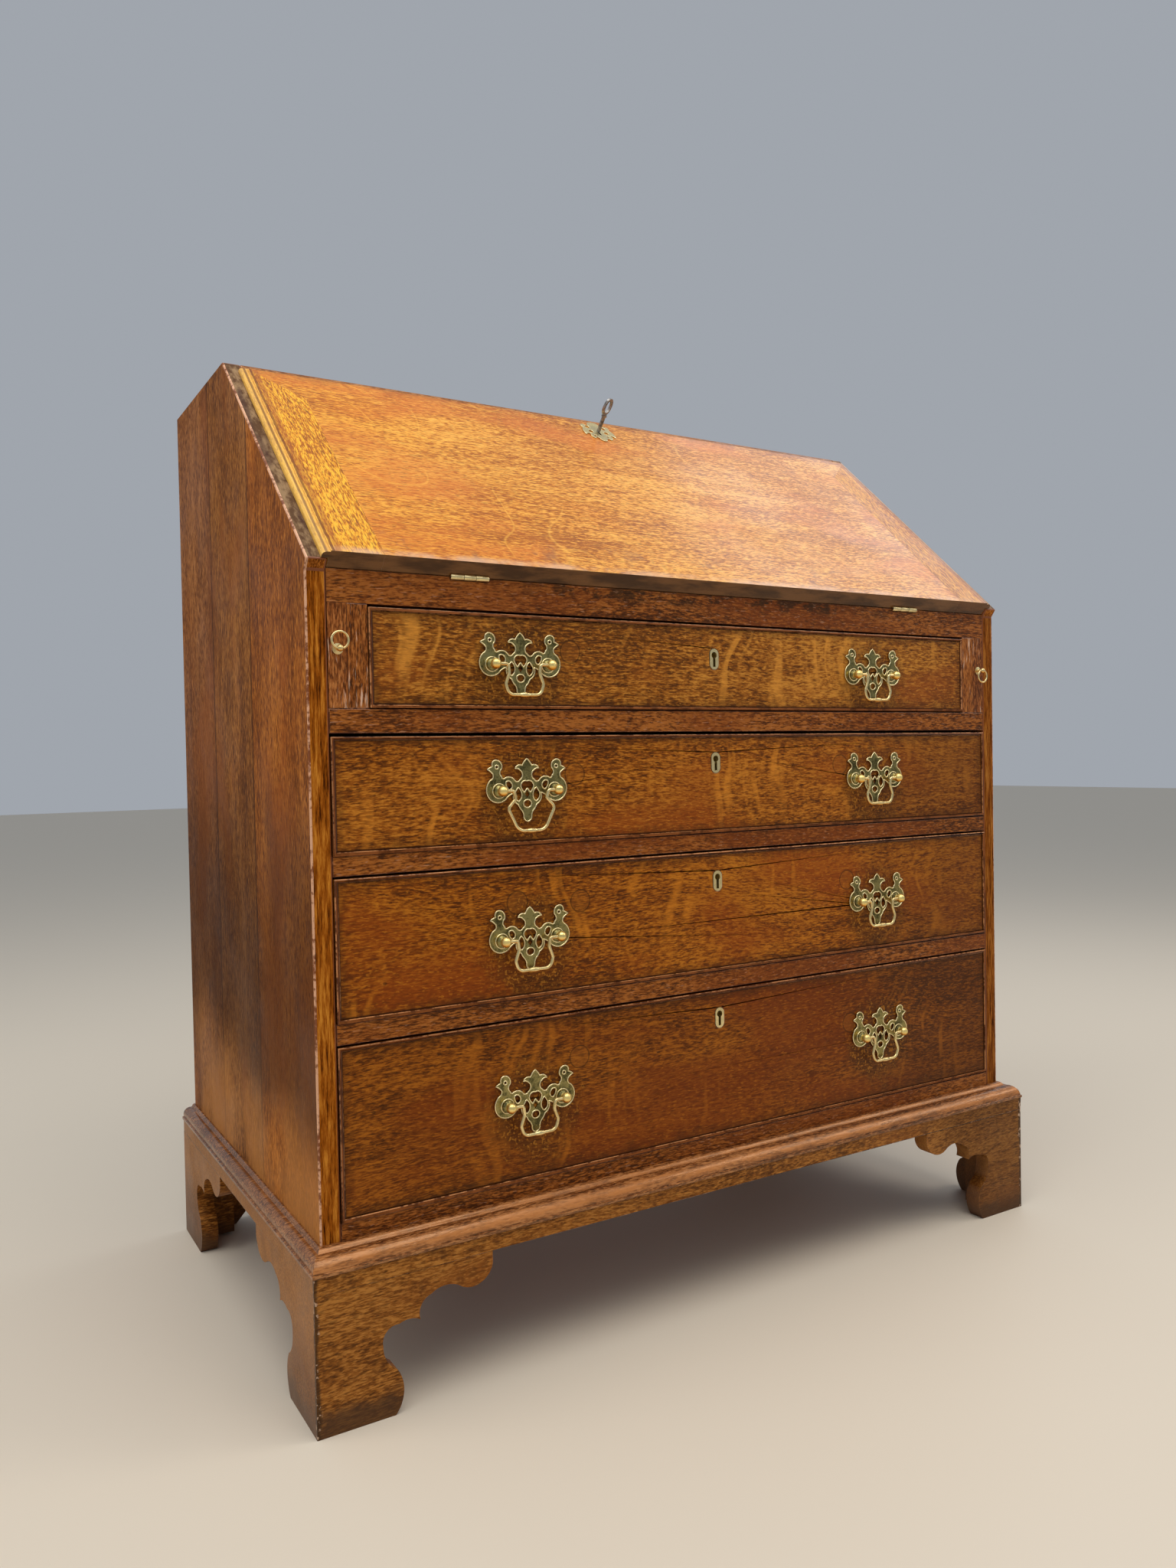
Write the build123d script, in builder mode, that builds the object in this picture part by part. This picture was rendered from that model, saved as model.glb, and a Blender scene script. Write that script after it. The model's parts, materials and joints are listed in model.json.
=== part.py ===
from build123d import *
import math
import os

# Slant-front oak bureau. X runs across the front, Y into the depth, Z up, with the front facing -Y.
# The origin is on the floor under the middle of the whole piece. Millimetres.

# --- driving dimensions -------------------------------------------------------------------------
width = 930.0  # outside of one carcass side to the outside of the other
depth = 523.0  # carcass front to back
height = 1057.0  # floor to the top board
board = 20.0  # thickness of the oak sides, top and bottom
back_board = 12.0  # thickness of the back boards
plinth_side = 15.0  # how far the plinth stands out past each side
plinth_front = 26.0  # how far the plinth stands out past the front
moulding_lip = 1.5  # how far the base moulding's bottom fillet overhangs the plinth
foot_height = 130.0
frame_height = 16.5
moulding_height = 17.5
hinge_height = 788.0  # writing surface and the fall's hinge line
slope = 42.4  # angle of the closed fall above horizontal, degrees
rail_depth = 60.0

half = width / 2
inner = half - board
total_depth = depth + plinth_front + moulding_lip
front = -total_depth / 2 + plinth_front + moulding_lip
back = total_depth / 2
inside_back = back - back_board
plinth_x = half + plinth_side
plinth_y = front - plinth_front
frame_top = foot_height + frame_height
moulding_top = frame_top + moulding_height

# Drawer openings: lowest and highest edge of each, from the top drawer down.
openings = [(659.0, 757.0), (522.0, 636.0), (366.0, 503.0), (180.0, 346.0)]
top_gaps = [2.4, 3.0, 2.0, 1.8]
post_heights = [704.0, 577.5, 427.0, 260.0]
keyhole_heights = [717.0, 601.0, 468.0, 313.0]
loper_width = 18.2
partition = 20.0
partition_x = inner - 19.0 - partition / 2  # middle of each upright between loper and top drawer
# Middle of each drawer's left and right handle. They were set out by eye and wander a little.
handle_places = [(-246.0, 243.0), (-241.0, 244.5), (-241.0, 246.0), (-238.5, 248.5)]
bolt_spacing = 63.5
hinge_x = 300.0
hinge_length = 41.0

os.makedirs("parts", exist_ok=True)


def save(part, name):
    """Labels one node and writes it."""
    part.label = name
    export_step(part, f"parts/{name}.step")


def save_group(solids, name):
    """Writes several separate solids as one node."""
    save(Compound(children=list(solids)), name)


def block(x, y, z):
    """A plain board between the given (low, high) pairs."""
    with BuildPart() as piece:
        with Locations((sum(x) / 2, sum(y) / 2, sum(z) / 2)):
            Box(x[1] - x[0], y[1] - y[0], z[1] - z[0])
    return piece.part


def prism(plane, points, thickness):
    """A board of any outline: corner points in the plane, and its thickness along the plane's normal."""
    with BuildPart() as piece:
        with BuildSketch(plane):
            with BuildLine():
                Polyline(*points, close=True)
            make_face()
        extrude(amount=thickness)
    return piece.part


def across(x):
    """The plane at x whose sketches are seen from the right side, (depth, height)."""
    return Plane.YZ.offset(x)


# --- the slope's own frame: along the width, up the slope (u), and outward from it (n) ------------
slope_sin = math.sin(math.radians(slope))
slope_cos = math.cos(math.radians(slope))
fall_plane = Plane(origin=(0, front, hinge_height), x_dir=(1, 0, 0), z_dir=(0, -slope_sin, slope_cos))
up_slope = Axis((0, front, hinge_height), (0, slope_cos, slope_sin))
outward = Axis((0, front, hinge_height), (0, -slope_sin, slope_cos))
side_lift = 9.6  # the sides' sloped edges lie this far outward of the hinge plane
lip_start = 10.0
lip_face = 16.6
fall_thickness = 18.0
fall_start = 1.0
fall_body_end = 357.5
fall_end = 369.0
fall_body_x = inner - 0.8
fall_lip_x = inner + 6.0
clamp_width = 60.0


def on_slope(u, n):
    """(y, z) of a point u up the slope and n outward."""
    return (front + u * slope_cos - n * slope_sin, hinge_height + u * slope_sin + n * slope_cos)


def hinge_line(x, radius, length, mode):
    """A cylinder along the hinge axis, for knuckles and the notches round them."""
    with Locations(Location((x, front, hinge_height), (0, 90, 0))):
        Cylinder(radius, length, mode=mode)


# --- sides ----------------------------------------------------------------------------------------
nose = on_slope(0, side_lift)
slope_top_u = (height - hinge_height - side_lift * slope_cos) / slope_sin
side_outline = [
    (front, frame_top),
    (front, hinge_height - 2),
    nose,
    on_slope(slope_top_u, side_lift),
    (back, height),
    (back, frame_top),
]
save(prism(across(-half), side_outline, board), "side_left")
save(prism(across(inner), side_outline, board), "side_right")

# --- top board, and the rail under its front edge that the fall closes on ------------------------------
bolt_width = 24.0
bolt_low = 3.0
bolt_high = 7.5
bolt_reach = 367.0


def on_fall(x, u, n):
    """A block lying along the slope, between the given (low, high) pairs."""
    with BuildPart() as piece:
        with BuildSketch(fall_plane.offset(n[0])):
            with Locations((sum(x) / 2, sum(u) / 2)):
                Rectangle(x[1] - x[0], u[1] - u[0])
        extrude(amount=n[1] - n[0])
    return piece.part


# The pocket that the fall's lock bolt enters.
bolt_half = bolt_width / 2
mortise_x = (-bolt_half - 0.5, bolt_half + 0.5)
bolt_mortise = on_fall(mortise_x, (fall_body_end - 1, bolt_reach + 1), (bolt_low - 0.4, bolt_high + 0.4))


top_outline = [
    on_slope(slope_top_u, side_lift),
    (back, height),
    (back, height - board),
    on_slope((height - board - hinge_height - side_lift * slope_cos) / slope_sin, side_lift),
]
with BuildPart() as top_board:
    with BuildSketch(across(-inner)):
        with BuildLine():
            Polyline(*top_outline, close=True)
        make_face()
    extrude(amount=2 * inner)
    add(bolt_mortise, mode=Mode.SUBTRACT)
save(top_board.part, "top_board")

stop_u = fall_body_end + 0.9
stop_bottom = on_slope(stop_u, -22)
stop_n = (height - board - hinge_height - stop_u * slope_sin) / slope_cos
stop_back = front + 300
stop_outline = [
    on_slope(stop_u, stop_n),
    stop_bottom,
    (stop_back, stop_bottom[1]),
    (stop_back, height - board),
]
with BuildPart() as fall_stop_rail:
    with BuildSketch(across(-inner)):
        with BuildLine():
            Polyline(*stop_outline, close=True)
        make_face()
    extrude(amount=2 * inner)
    add(bolt_mortise, mode=Mode.SUBTRACT)
save(fall_stop_rail.part, "fall_stop_rail")

# --- back boards: upright planks between the sides -------------------------------------------------
plank_count = 4
plank = 2 * inner / plank_count
planks = []
for i in range(plank_count):
    left = -inner + i * plank
    planks.append(block((left + 0.4, left + plank - 0.4), (inside_back, back), (160, height - board)))
save_group(planks, "back_boards")

# --- writing board and the front rails ----------------------------------------------------------------
writing_thickness = 18.0
top_rail_depth = 45.0
leaf = 2.0
leaf_length = 28.0
knuckle = 3.0
writing_y = (front + top_rail_depth, inside_back)
save(block((-inner, inner), writing_y, (hinge_height - writing_thickness, hinge_height)), "writing_board")

with BuildPart() as top_rail:
    with Locations((0, front + top_rail_depth / 2, (openings[0][1] + hinge_height) / 2)):
        Box(2 * inner, top_rail_depth, hinge_height - openings[0][1])
    for x in (-hinge_x, hinge_x):
        hinge_line(x, knuckle + 0.5, hinge_length + 1, Mode.SUBTRACT)
        with Locations((x, front + leaf_length / 2, hinge_height - leaf / 2)):
            Box(hinge_length, leaf_length + 0.2, leaf, mode=Mode.SUBTRACT)
save(top_rail.part, "top_rail")

rails = []
for i in range(3):
    rails.append(block((-inner, inner), (front, front + rail_depth), (openings[i + 1][1], openings[i][0])))
save_group(rails, "drawer_rails")

runner_widths = [inner - partition_x + partition / 2 + 25, 30.0, 30.0]
runners = []
for i in range(3):
    top = openings[i][0]
    for side in (-1, 1):
        span = sorted((side * inner, side * (inner - runner_widths[i])))
        runners.append(block(span, (front + rail_depth, inside_back), (top - 15, top)))
save_group(runners, "drawer_runners")

save(block((-inner, inner), (front, inside_back), (openings[3][0] - board, openings[3][0])), "carcass_bottom")

# Uprights between each loper and the top drawer, full height behind the top rail.
partition_outline = [
    (front, openings[0][0]),
    (front, openings[0][1]),
    (front + top_rail_depth, openings[0][1]),
    (front + top_rail_depth, hinge_height - writing_thickness),
    (inside_back, hinge_height - writing_thickness),
    (inside_back, openings[0][0]),
]
partitions = []
for x in (-partition_x, partition_x):
    partitions.append(prism(across(x - partition / 2), partition_outline, partition))
save_group(partitions, "loper_partitions")


# --- base: moulding, plinth frame and bracket feet ---------------------------------------------------------
def moulding_profile(plane, reach):
    """Bottom fillet, quirk, large ovolo and a top bead, standing out from the carcass by reach."""
    with BuildSketch(plane) as profile:
        with BuildLine():
            Polyline((0, moulding_height), (0, 0), (reach, 0), (reach, 2.8))
            Polyline((reach, 2.8), (reach - 1.7, 3.3), (reach - 1.7, 4.2))
            ThreePointArc((reach - 1.7, 4.2), (0.78 * reach, 11.2), (0.3 * reach, 13.9))
            Line((0.3 * reach, 13.9), (0.3 * reach - 1, 14.6))
            bead_middle = (0.22 * reach - 0.6, 16.4)
            ThreePointArc((0.3 * reach - 1, 14.6), bead_middle, (0.1 * reach, moulding_height))
            Line((0.1 * reach, moulding_height), (0, moulding_height))
        make_face()
    return profile.sketch


front_reach = plinth_front + moulding_lip
side_reach = plinth_side + moulding_lip


def mitre_plane(side):
    """The upright plane through a front corner of the carcass and the same corner of the moulding."""
    corner = Vector(side * half, front, 0)
    along = Vector(side * side_reach, -front_reach, 0).normalized()
    return Plane(origin=corner, x_dir=along, z_dir=along.cross(Vector(0, 0, 1)) * side)


# Front length: the profile's own x runs towards -Y, and the sweep is straight along +X.
with BuildPart() as moulding_front:
    start = Plane(origin=(-half - side_reach, front, frame_top), x_dir=(0, -1, 0), z_dir=(-1, 0, 0))
    extrude(moulding_profile(start, front_reach), amount=-(width + 2 * side_reach))
    for side in (-1, 1):
        split(bisect_by=mitre_plane(side), keep=Keep.TOP)
mouldings = [moulding_front.part]
for side in (-1, 1):
    with BuildPart() as moulding_side:
        start = Plane(origin=(side * half, back, frame_top), x_dir=(side, 0, 0), z_dir=(0, -side, 0))
        extrude(moulding_profile(start, side_reach), amount=side * (back - front + front_reach))
        split(bisect_by=mitre_plane(side), keep=Keep.BOTTOM)
    mouldings.append(moulding_side.part)
save_group(mouldings, "base_moulding")

frame_width = 60.0
floor_plan = Plane.XY.offset(foot_height)
corner = (plinth_x, plinth_y)
inner_corner = (plinth_x - frame_width, plinth_y + frame_width)
plinth = [
    prism(
        floor_plan,
        [(-corner[0], corner[1]), corner, inner_corner, (-inner_corner[0], inner_corner[1])],
        frame_height,
    )
]
for side in (-1, 1):
    outline = [
        (side * corner[0], corner[1]),
        (side * inner_corner[0], inner_corner[1]),
        (side * inner_corner[0], back),
        (side * corner[0], back),
    ]
    plinth.append(prism(floor_plan, outline, frame_height))
save_group(plinth, "plinth_frame")

# Bracket outline: distance from the foot's outer corner, and height. Each arc is (middle, end).
bracket_start = (75.0, 0.0)
bracket_arcs = [
    ((83.5, 24.0), (77.0, 43.0)),
    ((66.5, 55.0), (64.0, 68.0)),
    ((67.5, 80.5), (80.0, 84.5)),
    ((92.0, 86.5), (101.5, 83.0)),
    ((102.5, 96.5), (113.0, 104.5)),
    ((128.0, 109.0), (144.0, 103.5)),
    ((166.0, 102.5), (178.0, 118.0)),
]
bracket_thickness = 20.0


def bracket(plane, stretch, thickness=bracket_thickness):
    """One shaped bracket; stretch lengthens it without changing its height."""
    with BuildPart() as piece:
        with BuildSketch(plane):
            with BuildLine():
                here = (bracket_start[0] * stretch, bracket_start[1])
                Line((0, 0), here)
                for middle, end in bracket_arcs:
                    middle = (middle[0] * stretch, middle[1])
                    end = (end[0] * stretch, end[1])
                    ThreePointArc(here, middle, end)
                    here = end
                Line(here, (here[0], foot_height))
                Line((here[0], foot_height), (0, foot_height))
                Line((0, foot_height), (0, 0))
            make_face()
        extrude(amount=-thickness)
    return piece.part


def mitred(part, corner_point, diagonal, keep):
    """Cuts a bracket's end along the 45 degree plane through the foot's outer corner."""
    across_corner = Vector(*diagonal, 0).cross(Vector(0, 0, 1))
    with BuildPart() as piece:
        add(part)
        split(bisect_by=Plane(origin=(*corner_point, 0), z_dir=across_corner), keep=keep)
    return piece.part


side_stretch = 1.1
for side, name in ((-1, "left"), (1, "right")):
    x = side * plinth_x
    front_plane = Plane(origin=(x, plinth_y, 0), x_dir=(-side, 0, 0), z_dir=(0, side, 0))
    side_plane = Plane(origin=(x, plinth_y, 0), x_dir=(0, 1, 0), z_dir=(1, 0, 0))
    front_thick = -bracket_thickness * side
    side_thick = bracket_thickness * side
    front_bracket = mitred(bracket(front_plane, 1.0, front_thick), (x, plinth_y), (-side, 1), Keep.BOTH)
    side_bracket = mitred(bracket(side_plane, side_stretch, side_thick), (x, plinth_y), (-side, 1), Keep.BOTH)
    front_piece = front_bracket.solids().sort_by(Axis.Y)[0]
    side_piece = side_bracket.solids().sort_by(Axis.Y)[-1]
    inside = sorted((x - side * bracket_thickness, x - side * 50))
    glue_block = block(inside, (plinth_y + bracket_thickness, plinth_y + 50), (3, foot_height))
    save_group([front_piece, side_piece, glue_block], f"foot_front_{name}")

    rear_plane = Plane(origin=(x, back, 0), x_dir=(0, -1, 0), z_dir=(-1, 0, 0))
    rear_bracket = bracket(rear_plane, side_stretch, -bracket_thickness * side)
    rear_outline = [
        (x - side * bracket_thickness, 0),
        (x - side * 60, 0),
        (x - side * 140, 90),
        (x - side * 140, foot_height),
        (x - side * bracket_thickness, foot_height),
    ]
    rear_board = prism(Plane.XZ.offset(-back), rear_outline, 18)
    block_y = (back - 18 - 30, back - 18)
    rear_block = block(inside, block_y, (3, foot_height))
    save_group([rear_bracket, rear_board, rear_block], f"foot_rear_{name}")

# --- fall: a middle panel between two clamps, all cut from one moulded outline ------------------------------
fall_field_x = fall_lip_x - 8.0
fall_field_end = fall_end - 6.0
with BuildPart() as fall_outline:
    with BuildSketch(fall_plane):
        with Locations((0, (fall_start + fall_body_end) / 2)):
            Rectangle(2 * fall_body_x, fall_body_end - fall_start)
    extrude(amount=lip_start)
    with BuildSketch(fall_plane.offset(lip_start)):
        with Locations((0, (fall_start + fall_end) / 2)):
            Rectangle(2 * fall_lip_x, fall_end - fall_start)
    extrude(amount=lip_face - lip_start)
    rim = fall_outline.faces().sort_by(outward)[-1].edges().sort_by(up_slope)[1:]
    fillet(rim, radius=5.0)
    with BuildSketch(fall_plane.offset(lip_face)):
        with Locations((0, (fall_start + fall_field_end) / 2)):
            Rectangle(2 * fall_field_x, fall_field_end - fall_start)
    extrude(amount=fall_thickness - lip_face)

lock_u = (312.0, fall_body_end)
lock_x = 30.0
lock_n = (0.2, 12.0)
key_u = 338.0
escutcheon_thickness = 1.2


def key_way(n, radius, slot, reach):
    """The space of a keyhole: a round hole with a slot running down the slope from it."""
    with BuildPart() as hole:
        with BuildSketch(fall_plane.offset(n[0])):
            with Locations((0, key_u)):
                Circle(radius)
            with Locations((0, key_u - reach / 2)):
                Rectangle(slot, reach)
        extrude(amount=n[1] - n[0])
    return hole.part


panel_points = [
    (-fall_lip_x - 1, fall_end + 1),
    (-fall_lip_x + clamp_width, fall_end - clamp_width),
    (-fall_lip_x + clamp_width, 0),
    (fall_lip_x - clamp_width, 0),
    (fall_lip_x - clamp_width, fall_end - clamp_width),
    (fall_lip_x + 1, fall_end + 1),
]
with BuildPart() as fall_panel:
    with BuildSketch(fall_plane):
        with BuildLine():
            Polyline(*panel_points, close=True)
        make_face()
    extrude(amount=fall_thickness + 1)
    add(fall_outline.part, mode=Mode.INTERSECT)
    for x in (-hinge_x, hinge_x):
        hinge_line(x, knuckle + 0.5, hinge_length + 1, Mode.SUBTRACT)
        with BuildSketch(fall_plane):
            with Locations((x, leaf_length / 2)):
                Rectangle(hinge_length, leaf_length + 0.2)
        extrude(amount=leaf, mode=Mode.SUBTRACT)
    add(on_fall((-lock_x, lock_x), (lock_u[0] - 0.1, lock_u[1] + 0.1), (0, lock_n[1])), mode=Mode.SUBTRACT)
    add(key_way((lock_n[1], fall_thickness + 1), 3.4, 3.4, 10.0), mode=Mode.SUBTRACT)
save(fall_panel.part, "fall_panel")

clamps = []
for side in (-1, 1):
    clamp_points = [
        (side * (fall_lip_x + 1), fall_end + 1),
        (side * (fall_lip_x - clamp_width), fall_end - clamp_width),
        (side * (fall_lip_x - clamp_width), 0),
        (side * (fall_lip_x + 1), 0),
    ]
    with BuildPart() as clamp:
        with BuildSketch(fall_plane):
            with BuildLine():
                Polyline(*clamp_points, close=True)
            make_face()
        extrude(amount=fall_thickness + 1)
        add(fall_outline.part, mode=Mode.INTERSECT)
    clamps.append(clamp.part)
save_group(clamps, "fall_clamps")

# --- hinges: a leaf in the rail with two knuckles and the pin, a leaf in the fall with one ------------------
pin_radius = 1.2
middle_knuckle = 12.6
outer_knuckle = (hinge_length - middle_knuckle - 0.8) / 2
outer_x = hinge_length / 2 - outer_knuckle / 2
lower_leaves = []
upper_leaves = []
for x in (-hinge_x, hinge_x):
    with BuildPart() as lower:
        with Locations((x, front + (leaf_length + 3.8) / 2, hinge_height - leaf / 2)):
            Box(hinge_length - 0.4, leaf_length - 3.8, leaf)
        for side in (-1, 1):
            with Locations((x + side * (outer_x - 0.1), front + 2, hinge_height - leaf / 2)):
                Box(outer_knuckle - 0.2, 4, leaf)
            hinge_line(x + side * outer_x, knuckle, outer_knuckle, Mode.ADD)
        hinge_line(x, pin_radius, hinge_length + 2, Mode.SUBTRACT)
    with BuildPart() as pin:
        hinge_line(x, pin_radius, hinge_length, Mode.ADD)
    lower_leaves += [lower.part, pin.part]
    with BuildPart() as upper:
        with BuildSketch(fall_plane):
            with Locations((x, (leaf_length + 3.8) / 2)):
                Rectangle(hinge_length - 0.4, leaf_length - 3.8)
            with Locations((x, 2)):
                Rectangle(middle_knuckle, 4)
        extrude(amount=leaf)
        hinge_line(x, knuckle, middle_knuckle, Mode.ADD)
        hinge_line(x, pin_radius + 0.05, hinge_length + 2, Mode.SUBTRACT)
    upper_leaves.append(upper.part)
save_group(lower_leaves, "hinge_lower_leaves")
save_group(upper_leaves, "hinge_upper_leaves")

# --- fall lock: iron case let into the fall, bolt, pierced escutcheon and key ---------------------------
case_cavity = 9.8
with BuildPart() as fall_lock_case:
    with BuildSketch(fall_plane.offset(lock_n[0])):
        with Locations((0, (lock_u[0] + lock_u[1]) / 2)):
            Rectangle(2 * lock_x - 0.4, lock_u[1] - lock_u[0] - 0.4)
    extrude(amount=lock_n[1] - lock_n[0])
    with BuildSketch(fall_plane.offset(2.2)):
        with Locations((0, key_u)):
            Circle(case_cavity)
    extrude(amount=7.6, mode=Mode.SUBTRACT)
    guide_x = (-bolt_half - 0.2, bolt_half + 0.2)
    add(on_fall(guide_x, (key_u, lock_u[1] + 2), (bolt_low - 0.1, bolt_high + 0.1)), mode=Mode.SUBTRACT)
    add(key_way((2.3, fall_thickness), 2.8, 3.0, 9.4), mode=Mode.SUBTRACT)
save(fall_lock_case.part, "fall_lock_case")

bolt_u = (348.6, 357.4)
save(on_fall((-bolt_half, bolt_half), bolt_u, (bolt_low, bolt_high)), "fall_lock_bolt")

# Escutcheon: half of its outline, from the bottom tip to the top tip, then mirrored. Arcs are (middle, end).
escutcheon_bottom = (0.0, -24.0)
escutcheon_arcs = [
    ((3.6, -21.5), (5.0, -17.0)),
    ((8.6, -15.6), (11.8, -18.4)),
    ((15.6, -14.0), (14.0, -8.2)),
    ((19.4, -7.4), (22.0, -10.6)),
    ((22.6, 0.0), (19.0, 8.0)),
    ((20.6, 13.6), (15.0, 16.6)),
    ((10.6, 14.4), (8.4, 17.4)),
    ((6.0, 22.4), (0.0, 23.6)),
]


def arc_shape(start, arcs):
    """The right half of a shape on the middle line, as a chain of arcs closed by a straight line."""
    with BuildSketch() as shape:
        with BuildLine():
            here = start
            for middle, end in arcs:
                ThreePointArc(here, middle, end)
                here = end
            if here != start:
                Line(here, start)
        make_face()
    return shape.sketch


with BuildPart() as fall_escutcheon:
    with BuildSketch(Plane(fall_plane.offset(fall_thickness).location * Location((0, key_u, 0)))):
        add(arc_shape(escutcheon_bottom, escutcheon_arcs))
        mirror(about=Plane.YZ)
        for side in (-1, 1):
            with Locations((side * 11.5, -1.5), (side * 12.0, 10.5)):
                Circle(3.6, mode=Mode.SUBTRACT)
            with Locations((side * 9.6, -11.6)):
                Circle(2.2, mode=Mode.SUBTRACT)
    extrude(amount=escutcheon_thickness)
    add(key_way((fall_thickness - 1, fall_thickness + 3), 2.9, 3.2, 9.6), mode=Mode.SUBTRACT)
save(fall_escutcheon.part, "fall_escutcheon")

# Key: shank out of the fall, a bit in the lock, and an oval bow turned off the keyhole's line.
key_turn = 30.0
shank_radius = 2.5
bow_n = 54.0
key_foot = Plane(fall_plane.location * Location((0, key_u, 0)) * Location((0, 0, 0), (0, 0, key_turn)))
with BuildPart() as key:
    with BuildSketch(key_foot.offset(2.6)):
        Circle(shank_radius)
    extrude(amount=bow_n - 10.0 - 2.6)
    with BuildSketch(key_foot.offset(fall_thickness + 22.5)):
        Circle(3.4)
    extrude(amount=2.2)
    with BuildSketch(key_foot.offset(3.4)):
        with Locations((5.2, 0)):
            Rectangle(6.4, 1.8)
    extrude(amount=5.4)
    bow_plane = Plane(key_foot.location * Location((0, 0, bow_n), (90, 0, 0)))
    with BuildSketch(bow_plane):
        Ellipse(9.0, 11.2)
        Ellipse(6.2, 8.2, mode=Mode.SUBTRACT)
    extrude(amount=1.5, both=True)
save(key.part, "key")

def turned(profile, ball_radius, ball_at):
    """A turned piece standing on y = 0 along -Y, ending in a ball. The profile is (radius, outward)."""
    neck = profile[-1]
    plane = Plane(origin=(0, 0, 0), x_dir=(0, 0, 1), z_dir=(-1, 0, 0))
    with BuildPart() as piece:
        with BuildSketch(plane):
            with BuildLine():
                Polyline((0, -profile[0][1]), *[(r, -out) for r, out in profile])
                crown = (0, -ball_at - ball_radius)
                ThreePointArc((neck[0], -neck[1]), (ball_radius, -ball_at), crown)
                Line(crown, (0, -profile[0][1]))
            make_face()
        revolve(axis=Axis((0, 0, 0), (0, 1, 0)))
    return piece.part


def neck_end(neck_radius, ball_radius, ball_at):
    """The point where a neck of this radius runs into the ball."""
    return (neck_radius, ball_at - math.sqrt(ball_radius**2 - neck_radius**2))


# --- lopers and their ring pulls --------------------------------------------------------------------------
loper_x = inner - 0.4 - loper_width / 2
loper_length = 440.0
loper_z = (openings[0][0] + 0.4, openings[0][1] - 0.2)
pull_height = 714.0
pull_stand = 8.0
ring_radius = 8.0
ring_wire = 1.15
ring_chord = 3.1
eye = 3.2
for side, name in ((-1, "left"), (1, "right")):
    x = side * loper_x
    with BuildPart() as loper:
        with Locations((x, front + loper_length / 2, sum(loper_z) / 2)):
            Box(loper_width, loper_length, loper_z[1] - loper_z[0])
        with Locations(Location((x, front + 8, pull_height), (90, 0, 0))):
            Cylinder(1.5, 16.2, mode=Mode.SUBTRACT)
    save(loper.part, f"loper_{name}")

    pull_profile = [(1.5, -16), (1.5, 0), (5.2, 0), (5.2, 0.8), (2.0, 1.6), neck_end(1.7, eye, pull_stand)]
    with BuildPart() as pull:
        add(turned(pull_profile, eye, pull_stand))
        with Locations(Location((0, -pull_stand, 0), (0, 90, 0))):
            Cylinder(ring_wire + 0.07, 10, mode=Mode.SUBTRACT)
    save(pull.part.moved(Location((x, front, pull_height))), f"loper_pull_{name}")

    # The ring is a straight stub through the pull's eye, closed by most of a circle.
    up = -side
    centre_z = pull_height + up * math.sqrt(ring_radius**2 - ring_chord**2)
    gap = math.degrees(math.asin(ring_chord / ring_radius))
    start_angle = math.radians(-90 + gap if up > 0 else 90 + gap)
    ring_plane = Plane(origin=(x, front - pull_stand, centre_z), x_dir=(1, 0, 0), z_dir=(0, -1, 0))
    start_at = (ring_radius * math.cos(start_angle), ring_radius * math.sin(start_angle))
    section_plane = Plane(
        origin=(x + start_at[0], front - pull_stand, centre_z + start_at[1]),
        x_dir=(math.cos(start_angle), 0, math.sin(start_angle)),
        z_dir=(-math.sin(start_angle), 0, math.cos(start_angle)),
    )
    with BuildPart() as ring:
        with BuildSketch(section_plane):
            Circle(ring_wire)
        revolve(
            axis=Axis((x, front - pull_stand, centre_z), (0, -1, 0)),
            revolution_arc=360 - 2 * gap,
        )
        with Locations(Location((x, front - pull_stand, pull_height), (0, 90, 0))):
            Cylinder(ring_wire, 2 * ring_chord)
        for end in (-1, 1):
            with Locations((x + end * ring_chord, front - pull_stand, pull_height)):
                Sphere(ring_wire)
    save(ring.part, f"loper_ring_{name}")

# --- drawer brasses -----------------------------------------------------------------------------------------
plate_thickness = 1.6
post_stand = 10.0
plate_bottom = (0.0, -31.5)
plate_arcs = [
    ((3.4, -29.6), (4.4, -25.6)),
    ((5.4, -22.0), (7.8, -19.0)),
    ((9.2, -16.8), (10.6, -14.2)),
    ((15.4, -9.4), (15.6, -2.4)),
    ((18.6, -3.6), (22.6, -6.2)),
    ((40.6, -9.0), (41.4, 10.8)),
    ((38.4, 13.6), (38.6, 17.4)),
    ((41.0, 19.6), (44.6, 21.8)),
    ((41.6, 23.4), (38.8, 24.6)),
    ((38.0, 29.6), (33.8, 30.8)),
    ((29.2, 27.6), (28.9, 22.0)),
    ((30.8, 18.0), (28.8, 14.4)),
    ((27.4, 12.2), (25.2, 12.6)),
    ((19.4, 13.6), (14.4, 10.6)),
    ((11.2, 8.8), (8.2, 10.8)),
    ((5.2, 15.6), (7.8, 20.4)),
    ((10.2, 22.0), (13.6, 22.2)),
    ((10.0, 25.4), (5.4, 25.2)),
    ((2.8, 29.4), (0.0, 32.0)),
]
petal_start = (9.8, -11.2)
petal_arcs = [((13.6, -7.6), (13.8, -1.6)), ((12.0, 1.0), (10.4, 3.0)), ((6.4, -3.4), (9.8, -11.2))]
lobe_start = (20.6, 0.6)
lobe_arcs = [((17.0, 4.0), (18.4, 8.2)), ((21.2, 9.8), (24.2, 8.6)), ((23.4, 4.2), (20.6, 0.6))]
arch_start = (0.0, 2.2)
arch_arcs = [((1.8, 0.0), (3.4, -2.2)), ((6.0, 1.0), (7.4, 4.4)), ((5.6, 8.4), (0.0, 9.4))]
tongue_start = (0.0, -17.6)
tongue_arcs = [((3.6, -16.0), (4.4, -12.0)), ((2.6, -10.2), (0.0, -9.6))]


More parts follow.
